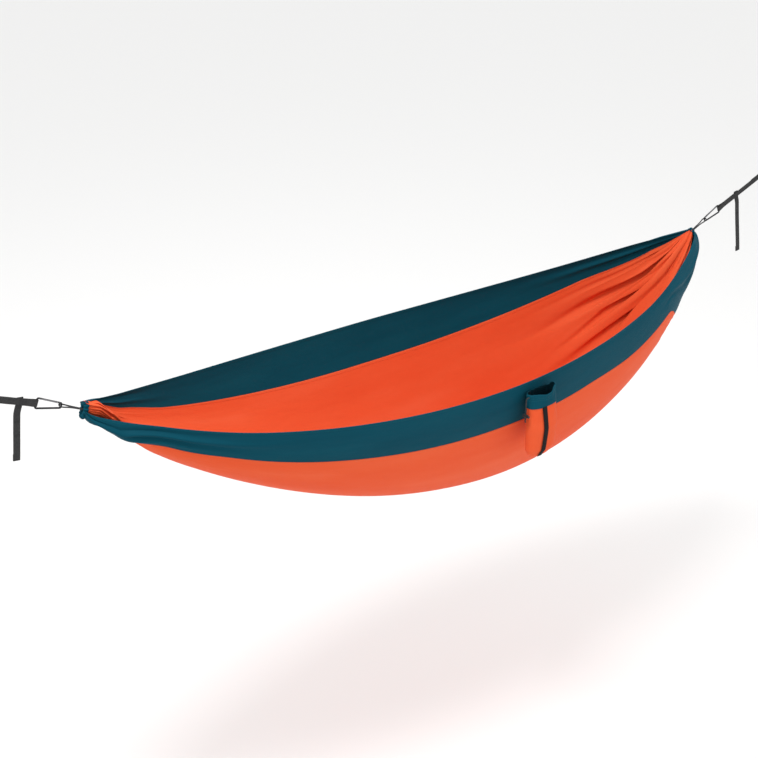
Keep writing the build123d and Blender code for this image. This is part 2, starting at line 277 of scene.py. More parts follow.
def gunmetal(base, worn, rough):
    def build(nt, bsdf):
        tc = nt.nodes.new("ShaderNodeTexCoord")
        n = node(nt, "ShaderNodeTexNoise", Scale=260.0, Detail=6.0)
        link(nt, tc.outputs["Object"], n.inputs["Vector"])
        scratch = node(nt, "ShaderNodeTexNoise", Scale=1.0, Detail=3.0)
        m = node(nt, "ShaderNodeMapping")
        m.inputs["Scale"].default_value = (120.0, 900.0, 500.0)
        link(nt, tc.outputs["Object"], m.inputs["Vector"])
        link(nt, m.outputs["Vector"], scratch.inputs["Vector"])
        geo = nt.nodes.new("ShaderNodeNewGeometry")
        sharp = maths(nt, "SUBTRACT", geo.outputs["Pointiness"], 0.52)
        edge = maths(nt, "MULTIPLY", sharp, 9.0, clamp=True)
        worst = maths(nt, "SUBTRACT", scratch.outputs["Fac"], 0.60)
        spots = maths(nt, "MULTIPLY", worst, 6.0, clamp=True)
        wear = maths(nt, "MAXIMUM", edge, spots, clamp=True)
        link(nt, mix(nt, wear, base, worn), bsdf.inputs["Base Color"])
        r = node(nt, "ShaderNodeMapRange")
        r.inputs["To Min"].default_value = rough - 0.06
        r.inputs["To Max"].default_value = rough + 0.12
        link(nt, n.outputs["Fac"], r.inputs["Value"])
        link(nt, r.outputs[0], bsdf.inputs["Roughness"])
        bsdf.inputs["Metallic"].default_value = 1.0
        bump(nt, bsdf, [(n.outputs["Fac"], 0.00004)])
    return build


def moulded(base):
    def build(nt, bsdf):
        tc = nt.nodes.new("ShaderNodeTexCoord")
        n = node(nt, "ShaderNodeTexNoise", Scale=1400.0, Detail=3.0)
        link(nt, tc.outputs["Object"], n.inputs["Vector"])
        link(nt, ramp(nt, n.outputs["Fac"], [(0.35, base), (0.75, tuple(c * 1.8 for c in base))]),
             bsdf.inputs["Base Color"])
        bsdf.inputs["Roughness"].default_value = 0.48
        bump(nt, bsdf, [(n.outputs["Fac"], 0.00006)])
    return build


# nylon: base, a painted-shade copy for the valleys, a painted-highlight copy for the crests, stitching
ORANGE = ((0.775, 0.102, 0.034), (0.755, 0.086, 0.027), (0.80, 0.130, 0.052), (0.82, 0.17, 0.07))
TEAL = ((0.0034, 0.062, 0.094), (0.0026, 0.051, 0.079), (0.0046, 0.074, 0.108), (0.010, 0.10, 0.13))
# painted shade: a dark teal for the inside of the sack's collar
PAINTED_SHADE_TEAL = ((0.0015, 0.016, 0.024), (0.001, 0.012, 0.018), (0.002, 0.020, 0.030), (0.004, 0.03, 0.04))
M = {
    "orange": material("nylon_orange", nylon(*ORANGE)),
    "teal": material("nylon_teal", nylon(*TEAL)),
    "teal_painted_shade": material("nylon_teal_painted_shade", nylon(*PAINTED_SHADE_TEAL)),
    "charcoal": material("webbing_charcoal", webbing((0.012, 0.012, 0.013), (0.066, 0.066, 0.067))),
    "black": material("webbing_black", webbing((0.004, 0.004, 0.005), (0.013, 0.013, 0.015))),
    "cord": material("cord_black", thread((0.008, 0.008, 0.009), (0.035, 0.035, 0.038))),
    "thread": material("thread_dark", thread((0.005, 0.005, 0.006), (0.018, 0.018, 0.020))),
    "metal": material("carabiner_gunmetal", gunmetal((0.030, 0.031, 0.034), (0.22, 0.22, 0.23), 0.40)),
    "pin": material("pin_steel", gunmetal((0.50, 0.50, 0.51), (0.72, 0.72, 0.72), 0.30)),
    "plastic": material("lock_plastic", moulded((0.012, 0.012, 0.013))),
}


# ---------------------------------------------------------------- mesh helpers
def mesh_object(name, verts, faces, mat, uvs=None):
    me = bpy.data.meshes.new(name)
    me.from_pydata([tuple(v) for v in verts], [], faces)
    me.validate()
    me.materials.append(mat)
    if uvs is not None:
        layer = me.uv_layers.new(name="UVMap")
        idx = np.empty(len(me.loops), int)
        me.loops.foreach_get("vertex_index", idx)
        layer.data.foreach_set("uv", np.asarray(uvs, np.float32)[idx].ravel())
    me.polygons.foreach_set("use_smooth", [True] * len(me.polygons))
    ob = bpy.data.objects.new(name, me)
    bpy.context.collection.objects.link(ob)
    return ob


def grid_normals(P):
    du = np.gradient(P, axis=0)
    dv = np.gradient(P, axis=1)
    n = np.cross(du, dv)
    return n / (np.linalg.norm(n, axis=2, keepdims=True) + 1e-12)


def slab(name, P, UV, thickness, mat, wrap=False):
    """Closed thin mesh round the middle surface P[i, j]; thickness is an array or a number. wrap closes j."""
    ni, nj = P.shape[:2]
    if wrap:
        ext = np.concatenate([P[:, -2:-1], P, P[:, 1:2]], axis=1)
        N = grid_normals(ext)[:, 1:-1]
    else:
        N = grid_normals(P)
    T = (np.broadcast_to(thickness, (ni, nj)) / 2)[..., None]
    verts = np.concatenate([(P + N * T).reshape(-1, 3), (P - N * T).reshape(-1, 3)])
    uvs = np.concatenate([UV.reshape(-1, 2)] * 2)
    idx = np.arange(ni * nj).reshape(ni, nj)
    top, low = idx, idx + ni * nj
    if wrap:
        top, low = top.copy(), low.copy()
        top[:, -1], low[:, -1] = top[:, 0], low[:, 0]
    a, b, c, d = top[:-1, :-1], top[1:, :-1], top[1:, 1:], top[:-1, 1:]
    faces = np.stack([a, b, c, d], -1).reshape(-1, 4).tolist()
    a, b, c, d = low[:-1, :-1], low[1:, :-1], low[1:, 1:], low[:-1, 1:]
    faces += np.stack([d, c, b, a], -1).reshape(-1, 4).tolist()
    rims = [(top[0, :], low[0, :], False), (top[-1, :], low[-1, :], True)]
    if not wrap:
        rims += [(top[:, 0], low[:, 0], True), (top[:, -1], low[:, -1], False)]
    for t, l, flip in rims:
        q = np.stack([t[:-1], t[1:], l[1:], l[:-1]], -1)
        faces += (q[:, ::-1] if flip else q).tolist()
    if wrap:
        keep = np.ones(len(verts), bool)
        keep[np.concatenate([idx[:, -1], idx[:, -1] + ni * nj])] = False
        remap = np.cumsum(keep) - 1
        verts, uvs = verts[keep], uvs[keep]
        faces = remap[np.array(faces)].tolist()
    return mesh_object(name, verts, faces, mat, uvs)


# ---------------------------------------------------------------- the hung bed
# rows of pleats: how many over the centre panel, u of the first onset, spread of the onsets, height,
# sharpness, seed; u is the distance from mid span, 0 to 1
PLEATS = (
    (4.5, 0.10, 0.46, 0.0220, 5.0, 11), (12.5, 0.34, 0.36, 0.0520, 6.0, 12),
    (23.0, 0.56, 0.26, 0.0260, 6.0, 13), (37.0, 0.80, 0.12, 0.0120, 5.0, 14),
)
# long folds in the side panels: end (-1 left, 1 right), t, width, u where it starts, u where it is full, height
FOLDS = (
    (1, -0.885, 0.016, 0.66, 0.93, 0.010), (1, -0.925, 0.022, 0.70, 0.93, -0.006),
    (1, -0.830, 0.022, 0.80, 0.97, 0.004), (-1, -0.915, 0.024, 0.45, 0.90, -0.0075),
    (-1, -0.865, 0.026, 0.55, 0.93, 0.006), (-1, -0.820, 0.020, 0.66, 0.95, -0.005),
    (-1, -0.960, 0.022, 0.62, 0.96, 0.0045), (1, 0.880, 0.030, 0.45, 0.90, 0.010),
    (1, 0.830, 0.022, 0.62, 0.95, -0.007), (1, 0.935, 0.018, 0.66, 0.95, -0.003),
    (-1, 0.880, 0.030, 0.66, 0.95, 0.007), (-1, 0.940, 0.022, 0.72, 0.96, -0.006),
)


def fullness(s, power, bulge):
    return SPAN * (1 - np.abs(s) ** power) ** bulge


def bed_yz(s, t):
    rim_y = 0.142 * fullness(s, 1.92, 0.753) * (1 - 0.015 * s)
    seam_y = 0.131 * fullness(s, 1.92, 0.632) * (1 + 0.054 * s)
    rim_z = -0.072 * fullness(s, 2.09, 0.775) * (1 + 0.012 * s)
    seam_z = -0.131 * fullness(s, 2.09, 0.775) * (1 + 0.019 * s)
    keel_z = -0.269 * fullness(s, 2.09, 0.764) * (1 + 0.328 * s)
    a = SEAM
    y3 = (seam_y - a * rim_y) / (a ** 3 - a)
    z4 = ((seam_z - keel_z) - a * a * (rim_z - keel_z)) / (a ** 4 - a ** 2)
    z2 = rim_z - keel_z - z4
    return (rim_y - y3) * t + y3 * t ** 3, keel_z + z2 * t * t + z4 * t ** 4


def share_at(s, near):
    """Where a long seam lies on the section, 0 at the keel and 1 at the rim: it slips under the ends."""
    s = np.asarray(s, float)
    if near:
        x = np.clip((-s - 0.83) / 0.11, 0, 1)
        left = smooth(-0.70, -0.82, s) * 0.025 + 0.25 * x ** 2 + 0.45 * x ** 6
        right = smooth(0.35, 0.60, s) * 0.035 + smooth(0.74, 0.90, s) * 0.40
    else:
        left = -smooth(-0.70, -0.84, s) * 0.03 - smooth(-0.84, -0.94, s) * 0.06
        right = smooth(0.70, 0.92, s) * 0.055 + smooth(0.92, 0.98, s) * 0.04
    return SEAM - left - right


def on_section(s, t):
    """Cloth coordinate t (seams at SEAM) to the place on the bed's section."""
    place = np.empty_like(t)
    for near in (True, False):
        a = share_at(s, near)
        u = np.abs(t)
        inner = u / SEAM * a
        outer = a + (u - SEAM) / (1 - SEAM) * (1 - a)
        w = np.where(u < SEAM, inner, outer) * np.sign(t)
        side = (t < 0) if near else (t >= 0)
        place = np.where(side, w, place)
    return place


def fold_profile(phase, sharp=9.0):
    """Rounded ridges with narrow valleys between, 0 to 1."""
    return np.log1p(sharp * 0.5 * (1 + np.cos(phase))) / math.log1p(sharp)


def bed_surface(s, t):
    """Middle surface of the cloth with its pleats, on a grid of s down and t across."""
    S, T = np.meshgrid(s, t, indexing="ij")
    W = on_section(S, T)
    y, z = bed_yz(S, W)
    step = 0.003
    ya, za = bed_yz(S, W - step)
    yb, zb = bed_yz(S, W + step)
    run = np.hypot(yb - ya, zb - za) + 1e-9
    # inward normal and the way across of the section
    ny, nz = -(zb - za) / run, (yb - ya) / run
    ty, tz = (yb - ya) / run, (zb - za) / run
    u = np.abs(S)
    depth = bed_yz(S, np.ones_like(W))[1] - bed_yz(S, W * 0)[1]
    girth = 2.6 * np.hypot(bed_yz(S, np.ones_like(W) * 0.7)[0], depth)
    girth = girth + 0.05
    right = smooth(-0.1, 0.1, S)
    centre = 1 - smooth(SEAM - 0.14, SEAM, np.abs(T))
    # a few broad pleats fan out of each end along the centre panel; finer ones join them nearer the end
    inside = smooth(-0.42, -0.20, W) * (1 - smooth(0.56, 0.76, T))
    d = np.zeros_like(S)
    shift = np.zeros_like(S)
    wander = 0.050 * ripple(T * 6.0, 3) + 0.018 * ripple(T * 5.0 + 5.0 * u, 5, 3)
    for count, start, span, height, sharp, seed in PLEATS:
        for way in (-1, 1):
            side = right if way > 0 else 1 - right
            late = 0.0 if way > 0 else 0.55 * (0.93 - start)
            onset = start + late + span * (0.42 * ripple(T * 0.9 * count, seed * 3 + way, 3) + 0.42)
            grow = smooth(0.0, 1.0, (u - onset) / np.maximum(0.97 - onset, 0.06))
            waver = 0.08 * ripple(u * 4.0 + seed, seed + 40 + way, 2)
            phase = 2 * math.pi * (count * (T + wander) / (2 * SEAM) + waver) + seed
            loud = 0.76 + 0.28 * ripple(T * 1.3 * count + seed, seed + way, 3)
            room = np.minimum(1.0, girth / ((0.045 if count < 20 else 0.030) * count))
            amp = height * grow * loud * room * side
            keep = inside if count < 20 else np.maximum(inside, 0.10)
            keep = keep * (1 - smooth(0.88, 0.95, u)) + centre * smooth(0.88, 0.95, u)
            if way < 0:
                keep = keep * (0.30 + 0.45 * smooth(-0.30, 0.10, T) + 0.65 * smooth(0.84, 0.95, u))
            amp = amp * np.clip(keep, 0, 1)
            d += amp * (fold_profile(phase, sharp) - 0.55 * (1 - smooth(0.76, 0.88, u)))
            shift += 0.42 * amp * np.sin(2 * phase) * smooth(0.55, 0.9, u)
    # long folds in the side panels
    band = smooth(SEAM - 0.02, SEAM + 0.03, np.abs(T))
    free = 1 - smooth(0.95, 1.0, np.abs(T)) * (1 - smooth(0.9, 0.98, u)) * 0.75
    for way, t0, width, s0, s1, height in FOLDS:
        side = right if way > 0 else 1 - right
        drift = t0 + 0.012 * np.sin(u * 9.0 + t0 * 40)
        bell = np.exp(-((T - drift) / width) ** 2)
        d += height * bell * smooth(s0, s1, u) * side * band * free
    # slack and handling marks over the middle
    soft = ripple(S * 5.0 + T * 3.1, 71, 4) * ripple(T * 6.5 - S * 2.0, 77, 4)
    d += 0.0028 * soft * (1 - 0.8 * smooth(0.86, 1.0, np.abs(T))) * (1 - smooth(0.9, 1.0, u))
    y = y + d * ny + shift * ty
    z = z + d * nz + shift * tz
    # the taut hems stand a little proud of the belly on the way to the ends
    tuned = smooth(0.62, 0.90, u) * (1 - smooth(0.94, 0.995, u)) * smooth(0.45, 0.98, np.abs(W))
    z = z + tuned * np.where(T < 0, np.where(S < 0, 0.005, 0.017), 0.002)
    # the belly lifts on the near side of the left gather
    lift = smooth(0.84, 0.93, u) * (1 - smooth(0.965, 1.0, u))
    z = z + 0.021 * lift * (1 - np.abs(W)) * smooth(0.15, -0.12, W) * (S < 0)
    # gathered end: side panels wrap the bundle, the centre panel's pleats fill it up to the top
    q = np.clip((1 - u) / 0.16, 0, 1)
    end = (1 - q * q) ** 2
    a = np.abs(T)
    outer = np.clip((a - SEAM) / (1 - SEAM), 0, 1)
    low = np.where(T < 0, NEAR_WRAP, FAR_WRAP)
    high = np.where(T < 0, np.where(S < 0, 0.47, 0.85), np.where(S < 0, 0.64, 0.72))
    ang = np.sign(T) * (low + (high - low) * outer) * math.pi
    curl = 1 + 0.13 * np.sin(T * 95.0) * np.sin(outer * math.pi)
    side_y, side_z = BUNDLE_Y * np.sin(ang) * curl, -BUNDLE_Z * np.cos(ang) * curl
    k = T / SEAM
    m = 0.5 * (1 + k)
    y_from, z_from = -BUNDLE_Y * math.sin(NEAR_WRAP * math.pi), -BUNDLE_Z * math.cos(NEAR_WRAP * math.pi)
    y_to, z_to = BUNDLE_Y * math.sin(FAR_WRAP * math.pi), -BUNDLE_Z * math.cos(FAR_WRAP * math.pi)
    beat = np.where(S < 0, 4.5, 8.5) * m + 0.10 * ripple(k * 4.0, 91, 3)
    teeth = fold_profile(2 * math.pi * beat + math.pi, 5.0)
    teeth = teeth * (1 - smooth(0.93, 1.0, np.abs(k)))
    crest = np.where(S < 0, 0.0075, 0.0115) + 0.003 * ripple(k * 9.0, 95, 3)
    crest = crest + 0.002 * ripple(u * 60.0 + k * 5, 96, 3)
    inner_y = y_from + (y_to - y_from) * m - 0.003 * teeth
    inner_z = z_from + (z_to - z_from) * m * m
    inner_z = inner_z + teeth * (crest - inner_z)
    by = np.where(a > SEAM, side_y, inner_y)
    bz = np.where(a > SEAM, side_z, inner_z)
    lower = np.where(S < 0, 0.0070, 0.0205)
    y = y + by * end
    z = z + (bz - lower) * end
    x = MID[0] + S * SPAN / 2
    inset = np.where(a > SEAM, 0.011, 0.018) + 0.25 * (bz - lower) * np.sin(HANG)
    x = x - np.sign(S) * inset * end
    return np.stack([x, y + MID[1], z + MID[2]], -1), S, T


def s_stations(count):
    u = np.linspace(-1, 1, count)
    return np.sin(u * math.pi / 2)


def t_stations(lo, hi, count, marks):
    t = np.linspace(lo, hi, count)
    extra = [m + o for m in marks for o in (-0.0012, -0.0004, 0.0004, 0.0012)]
    t = np.unique(np.concatenate([t, [e for e in extra if lo < e < hi]]))
    return t


# the CAD nodes that each panel replaces
LENGTHS = [f"centre_panel_{k}" for k in ("left_end", "left_quarter", "left_middle",
                                         "right_middle", "right_quarter", "right_end")]
LENGTHS += [f"side_panel_{j}_{k}" for j in ("near", "far")
            for k in ("left_end", "left_middle", "right_middle", "right_end")]
FOLD = 0.0155                # t across a 9 mm seam or hem allowance
CLOTH = 0.0006


def panel(name, lo, hi, count, mat, seams):
    """One strip of cloth from t lo to hi. seams: (t of the edge, direction into this panel)."""
    marks = [edge + way * FOLD for edge, way in seams]
    s = s_stations(361)
    t = t_stations(lo, hi, count, marks)
    P, S, T = bed_surface(s, t)
    thick = np.full_like(S, CLOTH)
    v = np.full_like(S, 0.5)
    for edge, way in seams:
        dist = (T - edge) * way
        thick += 0.0011 * (1 - smooth(FOLD - 0.0012, FOLD + 0.0012, dist))
        v = np.minimum(v, np.abs(dist) * 0.585)
    # u and v in metres of cloth
    along = np.concatenate([[0], np.cumsum(np.linalg.norm(np.diff(P[:, len(t) // 2], axis=0), axis=1))])
    UV = np.stack([np.broadcast_to(along[:, None], S.shape), v], -1)
    ob = slab(name, P, UV, thick, mat)
    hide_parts(*(n for n in LENGTHS if n.startswith(name.replace("cloth_", ""))))
    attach(ob, "bed")
    return ob


cloth_centre = panel("cloth_centre_panel", -SEAM, SEAM, 281, M["orange"], ((-SEAM, 1), (SEAM, -1)))
cloth_near = panel("cloth_side_panel_near", -1.0, -SEAM, 75, M["teal"], ((-1.0, 1),))
cloth_far = panel("cloth_side_panel_far", SEAM, 1.0, 75, M["teal"], ((1.0, -1),))

# ---------------------------------------------------------------- gathered end channels
for name, side in SIDES:
    u, w = line_dir(side), across_dir(side)
    base = line_point(side, -0.010) - w * (0.006 if side < 0 else 0.0145)
    a = np.linspace(0, 2 * math.pi, 181)
    k = np.linspace(0, 1, 41)
    K, A = np.meshgrid(k, a, indexing="ij")
    # profile from inside the bundle, over the outer lip, back into the rope hole
    roll = K * 1.25 * math.pi - 0.25 * math.pi
    along = -0.0075 + 0.0075 * np.sin(roll)
    swell = 0.0045 * np.cos(roll)
    wave = np.sin(13 * A + 2.5 * ripple(A * 2, 5 + side, 3) + 0.8 * K)
    pleat = 1 + 0.17 * wave * smooth(-0.3, 0.6, np.cos(roll) + 0.4)
    ry, rw = 0.0085 + swell, 0.0165 + swell
    hole = smooth(0.75, 1.0, K)
    ry = ry * pleat * (1 - hole) + 0.0046 * hole
    rw = rw * pleat * (1 - hole) + 0.0028 * hole
    P = (base + (along - 0.004 * hole)[..., None] * u
         + (ry * np.sin(A))[..., None] * SIDE_Y + (rw * np.cos(A))[..., None] * w)
    UV = np.stack([A * 0.012, 0.03 + K * 0.03], -1)
    ob = slab(f"cloth_end_channel_{name}", P, UV, 0.0009, M["teal"], wrap=True)
    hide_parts(f"end_channel_{name}")
    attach(ob, "bed")


# ---------------------------------------------------------------- ropes and cords
def spline_points(points):
    """The smooth line of a NURBS spline with these control points."""
    cu = bpy.data.curves.new("route", "CURVE")
    cu.dimensions = "3D"
    sp = cu.splines.new("NURBS")
    sp.points.add(len(points) - 1)
    for p, q in zip(sp.points, points):
        p.co = (*q, 1.0)
    sp.order_u = 3
    sp.use_endpoint_u = True
    cu.resolution_u = 16
    ob = bpy.data.objects.new("route", cu)
    bpy.context.collection.objects.link(ob)
    bpy.context.view_layer.update()
    me = bpy.data.meshes.new_from_object(ob)
    pts = np.array([v.co[:] for v in me.vertices])
    bpy.data.objects.remove(ob)
    bpy.data.meshes.remove(me)
    return pts


def resample(pts, step):
    L = np.concatenate([[0], np.cumsum(np.linalg.norm(np.diff(pts, axis=0), axis=1))])
    n = max(8, int(L[-1] / step) + 1)
    q = np.linspace(0, L[-1], n)
    return np.stack([np.interp(q, L, pts[:, i]) for i in range(3)], -1), q


def braided(name, points, d, mat, step=0.0004, sides=16, strands=8, pitch=5.0):
    """Round braid along a spline: crossing helical strands stand out of the surface."""
    pts, L = resample(spline_points(points), step)
    tan = np.gradient(pts, axis=0)
    tan /= np.linalg.norm(tan, axis=1, keepdims=True)
    ref = np.array([0.13, 0.21, 0.97])
    side = np.cross(tan[0], ref)
    side /= np.linalg.norm(side)
    frames = []
    for tg in tan:
        side = side - tg * np.dot(side, tg)
        side /= np.linalg.norm(side)
        frames.append((side.copy(), np.cross(tg, side)))
    a = np.linspace(0, 2 * math.pi, sides, endpoint=False)
    turn = L[:, None] * 2 * math.pi / (pitch * d)
    weave = np.maximum(np.cos(strands / 2 * (a[None] + turn)), np.cos(strands / 2 * (a[None] - turn)))
    r = d / 2 * (0.93 + 0.07 * weave)
    fa = np.array([f[0] for f in frames])
    fb = np.array([f[1] for f in frames])
    spoke = np.cos(a)[None, :, None] * fa[:, None] + np.sin(a)[None, :, None] * fb[:, None]
    P = pts[:, None] + r[..., None] * spoke
    n = len(pts)
    verts = np.concatenate([P.reshape(-1, 3), pts[:1], pts[-1:]])
    idx = np.arange(n * sides).reshape(n, sides)
    nxt = np.roll(idx, -1, axis=1)
    faces = np.stack([idx[:-1], nxt[:-1], nxt[1:], idx[1:]], -1).reshape(-1, 4).tolist()
    faces += [[n * sides, nxt[0, j], idx[0, j]] for j in range(sides)]
    faces += [[n * sides + 1, idx[-1, j], nxt[-1, j]] for j in range(sides)]
    ob = mesh_object(name, verts, faces, mat)
    return ob, pts


for name, side in SIDES:
    wrap = ROD_D / 2 + 0.0003 + ROPE_D / 2
    lie = 0.00205            # half the gap between the two legs

    def at(along, off, lift):
        return line_point(side, along) + SIDE_Y * off + across_dir(side) * lift

    route = [at(-0.020, -lie, -0.0045), at(-0.004, -lie, -0.0035), at(0.014, -lie, -0.0024),
             at(ROPE_BAR - 0.020, -0.0022, -0.0021), at(ROPE_BAR - 0.008, -wrap, -0.0021),
             at(ROPE_BAR + wrap * 0.55, -wrap - 0.0002, -0.0020),
             at(ROPE_BAR + wrap + 0.0009, -wrap * 0.62, -0.0012),
             at(ROPE_BAR + wrap + 0.0009, wrap * 0.62, 0.0012),
             at(ROPE_BAR + wrap * 0.55, wrap + 0.0002, 0.0020),
             at(ROPE_BAR - 0.008, wrap, 0.0021), at(ROPE_BAR - 0.020, 0.0022, 0.0006),
             at(0.014, lie, -0.0010), at(-0.004, lie, -0.0030), at(-0.020, lie, -0.0045)]
    ob, pts = braided(f"rope_gather_{name}", route, ROPE_D, M["cord"])
    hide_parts(f"gather_rope_{name}")
    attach(ob, "bed")
    length = float(np.sum(np.linalg.norm(np.diff(pts, axis=0), axis=1)))
    tuple(route[0])
    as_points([tuple(p) for p in pts[::4]] + [tuple(pts[-1])])


# ---------------------------------------------------------------- webbing
def ribbon(name, path, wide, mat, width=WEB_W, thickness=WEB_T):
    """Flat webbing with rounded selvedges along path; wide is the direction of its width."""
    pts, L = resample(np.array(path), 0.0012)
    tan = np.gradient(pts, axis=0)
    tan /= np.linalg.norm(tan, axis=1, keepdims=True)
    wide = np.broadcast_to(np.asarray(wide, float), pts.shape)
    up = np.cross(tan, wide)
    up /= np.linalg.norm(up, axis=1, keepdims=True)
    wd = np.cross(up, tan)
    half_w, half_t = width / 2, thickness / 2
    cols = np.linspace(-1, 1, 17)
    bulge = np.sqrt(np.clip(1 - np.abs(cols) ** 14, 0, 1))
    lip = 1 + 0.10 * np.exp(-((np.abs(cols) - 0.9) / 0.07) ** 2)
    prof = [(c * half_w, half_t * b * k) for c, b, k in zip(cols, bulge, lip)]
    prof += [(c * half_w, -half_t * b * k) for c, b, k in list(zip(cols, bulge, lip))[-2:0:-1]]
    prof = np.array(prof)
    m, n = len(prof), len(pts)
    P = pts[:, None] + prof[None, :, :1] * wd[:, None] + prof[None, :, 1:] * up[:, None]
    UV = np.stack([np.broadcast_to(L[:, None], (n, m)), np.broadcast_to(prof[None, :, 0], (n, m))], -1)
    idx = np.arange(n * m).reshape(n, m)
    nxt = np.roll(idx, -1, axis=1)
    faces = np.stack([idx[:-1], nxt[:-1], nxt[1:], idx[1:]], -1).reshape(-1, 4).tolist()
    faces += [idx[0, ::-1].tolist(), idx[-1].tolist()]
    return mesh_object(name, P.reshape(-1, 3), faces, mat, UV.reshape(-1, 2)), pts


def arc(centre, radius, start, stop, count):
    a = np.radians(np.linspace(start, stop, count))
    return [(centre + radius * math.cos(x), radius * math.sin(x)) for x in a]


def stitches(name, lines, mat, pitch=0.0024, gauge=0.00045):
    """Raised thread stitches along each straight line (start, end, surface normal)."""
    verts, faces = [], []
    ring = [(math.cos(a), math.sin(a)) for a in np.linspace(0, 2 * math.pi, 6, endpoint=False)]
    for line in lines:
        p, q, n = (np.asarray(v, float) for v in line)
        length = np.linalg.norm(q - p)
        d = (q - p) / length
        s = np.cross(d, n)
        count = max(1, int(length / pitch))
        for i in range(count):
            c = p + d * (i + 0.5) * length / count
            half = 0.42 * length / count
            base = len(verts)
            for f, k in ((-1.0, 0.25), (-0.7, 0.85), (0.0, 1.0), (0.7, 0.85), (1.0, 0.25)):
                rise = gauge * (0.15 - 0.75 * f * f)
                for cx, cy in ring:
                    verts.append(c + d * f * half + s * cx * gauge * k + n * (cy * gauge * k + rise))
            for j in range(4):
                for m in range(6):
                    a = base + j * 6 + m
                    b = base + j * 6 + (m + 1) % 6
                    faces.append([a, b, b + 6, a + 6])
            faces.append([base + m for m in range(5, -1, -1)])
            faces.append([base + 24 + m for m in range(6)])
    return mesh_object(name, verts, faces, mat)


for name, side in SIDES:
    u, w, y = line_dir(side), across_dir(side), SIDE_Y
    r = ROD_D / 2 + 0.0003 + WEB_T / 2
    h = WEB_T / 2
    eye = EYE - STRAP_BAR
    tee = TEE[name] - STRAP_BAR
    re = EYE_R + h
    # the short leg lies behind, the standing leg in front
    loop = [(tee - 0.002, h), (0.030, h), (0.020, h + 0.0004), (0.010, r * 0.80), (0.004, r * 0.985)]
    loop += arc(0, r, 80, 280, 25)
    loop += [(0.004, -r * 0.985), (0.010, -r * 0.80), (0.020, -h - 0.0004), (0.030, -h), (tee + 0.010, -h)]
    loop += [(eye - 0.075, -h), (eye - 0.060, -h - 0.0002), (eye - 0.045, -h - 0.0016),
             (eye - 0.030, -re * 0.42), (eye - 0.018, -re * 0.74)]
    loop += arc(eye, re, 238, 482, 41)
    loop += [(eye - 0.018, re * 0.74), (eye - 0.030, re * 0.42), (eye - 0.045, h + 0.0010), (eye - 0.060, h),
             (eye - 0.098, h)]
    origin = line_point(side, STRAP_BAR)
    path = [origin + u * a + y * b for a, b in loop]
    ob, _ = ribbon(f"webbing_tree_strap_{name}", path, w, M["charcoal"])
    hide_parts(f"tree_strap_{name}")
    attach(ob, f"strap_{name}")
    # bartacks beside the tee and at the eye: a box of dense rows on both faces
    lines = []
    for at0, at1 in ((tee - 0.022, tee - 0.006), (eye - 0.092, eye - 0.062)):
        for face in (-1, 1):
            nrm = y * face
            off = y * face * (WEB_T + 0.0001)
            corner = [origin + u * a + w * b + off for a, b in
                      ((at0, -0.0075), (at1, -0.0075), (at1, 0.0075), (at0, 0.0075))]
            lines += [(corner[i], corner[(i + 1) % 4], nrm) for i in range(4)]
            lines += [(corner[0], corner[2], nrm), (corner[1], corner[3], nrm)]
    ob = stitches(f"stitching_bartack_{name}", lines, M["thread"])
    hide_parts(f"strap_bartack_{name}")
    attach(ob, f"strap_{name}")
    # hanging tail with a folded, sewn tip
    top = line_point(side, TEE[name])
    back = 0.0019 + 0.0003 + 0.0006 + WEB_T / 2
    length = TAIL[name]
    lean = math.radians(7.0 if side < 0 else 9.5)
    down = np.array([side * math.sin(lean), 0.0, -math.cos(lean)])
    flat = np.array([math.cos(lean), 0.0, side * math.sin(lean)])

    def on_tail(q, across, off):
        sway = -side * 0.007 * (1 - float(smooth(-0.004, 0.040, q)))
        bow = 0.0008 * math.sin(q / length * 5.0)
        return top + down * q + flat * (across + sway) + y * (back + bow + off)

    path = [on_tail(q, 0.0, 0.0) for q in np.linspace(-0.0085, length, 60)]
    tail, pts = ribbon(f"webbing_tail_{name}", path, flat, M["charcoal"])
    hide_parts(f"strap_tail_{name}")
    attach(tail, f"tail_{name}")
    tip = [on_tail(q, 0.0, WEB_T * 0.98) for q in np.linspace(length - 0.018, length - 0.0004, 12)]
    fold, _ = ribbon(f"webbing_tail_fold_{name}", tip, flat, M["charcoal"])
    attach(fold, f"tail_{name}")
    lines = []
    for frac in (0.33, 0.56):
        for row in range(4):
            for face in (-1, 1):
                q, off = length * frac + row * 0.0016, face * (WEB_T / 2 + 0.0001)
                lines.append((on_tail(q, -0.0085, off), on_tail(q, 0.0085, off), y * face))
    for q in (length - 0.014, length - 0.004):
        for off, face in ((-WEB_T / 2 - 0.0001, -1), (1.48 * WEB_T + 0.0001, 1)):
            lines.append((on_tail(q, -0.0082, off), on_tail(q, 0.0082, off), y * face))
    tacks = stitches(f"stitching_tail_{name}", lines, M["thread"])
    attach(tacks, f"tail_{name}")
    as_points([tuple(p) for p in pts[::3]] + [tuple(pts[-1])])

# ---------------------------------------------------------------- carabiners: the CAD shapes, finished
def finish_cad(names, mat):
    for n in names:
        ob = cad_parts[n]
        ob.data.materials.clear()
        ob.data.materials.append(mat)


for name, side in SIDES:
    finish_cad([f"carabiner_frame_{name}", f"carabiner_gate_{name}"], M["metal"])
    finish_cad([f"gate_pin_{name}"], M["pin"])
finish_cad(["cord_lock_barrel", "cord_lock_plunger"], M["plastic"])

# ---------------------------------------------------------------- stuff sack
rim = bed_yz(SACK_AT, -1.0)
sew_t = -1.0
while bed_yz(SACK_AT, sew_t)[1] > rim[1] - 0.028:
    sew_t += 0.002


def off_surface(s, t, out):
    y, z = bed_yz(s, t)
    ya, za = bed_yz(s, t - 0.002)
    yb, zb = bed_yz(s, t + 0.002)
    run = math.hypot(yb - ya, zb - za)
    return y + out * (zb - za) / run, z - out * (yb - ya) / run


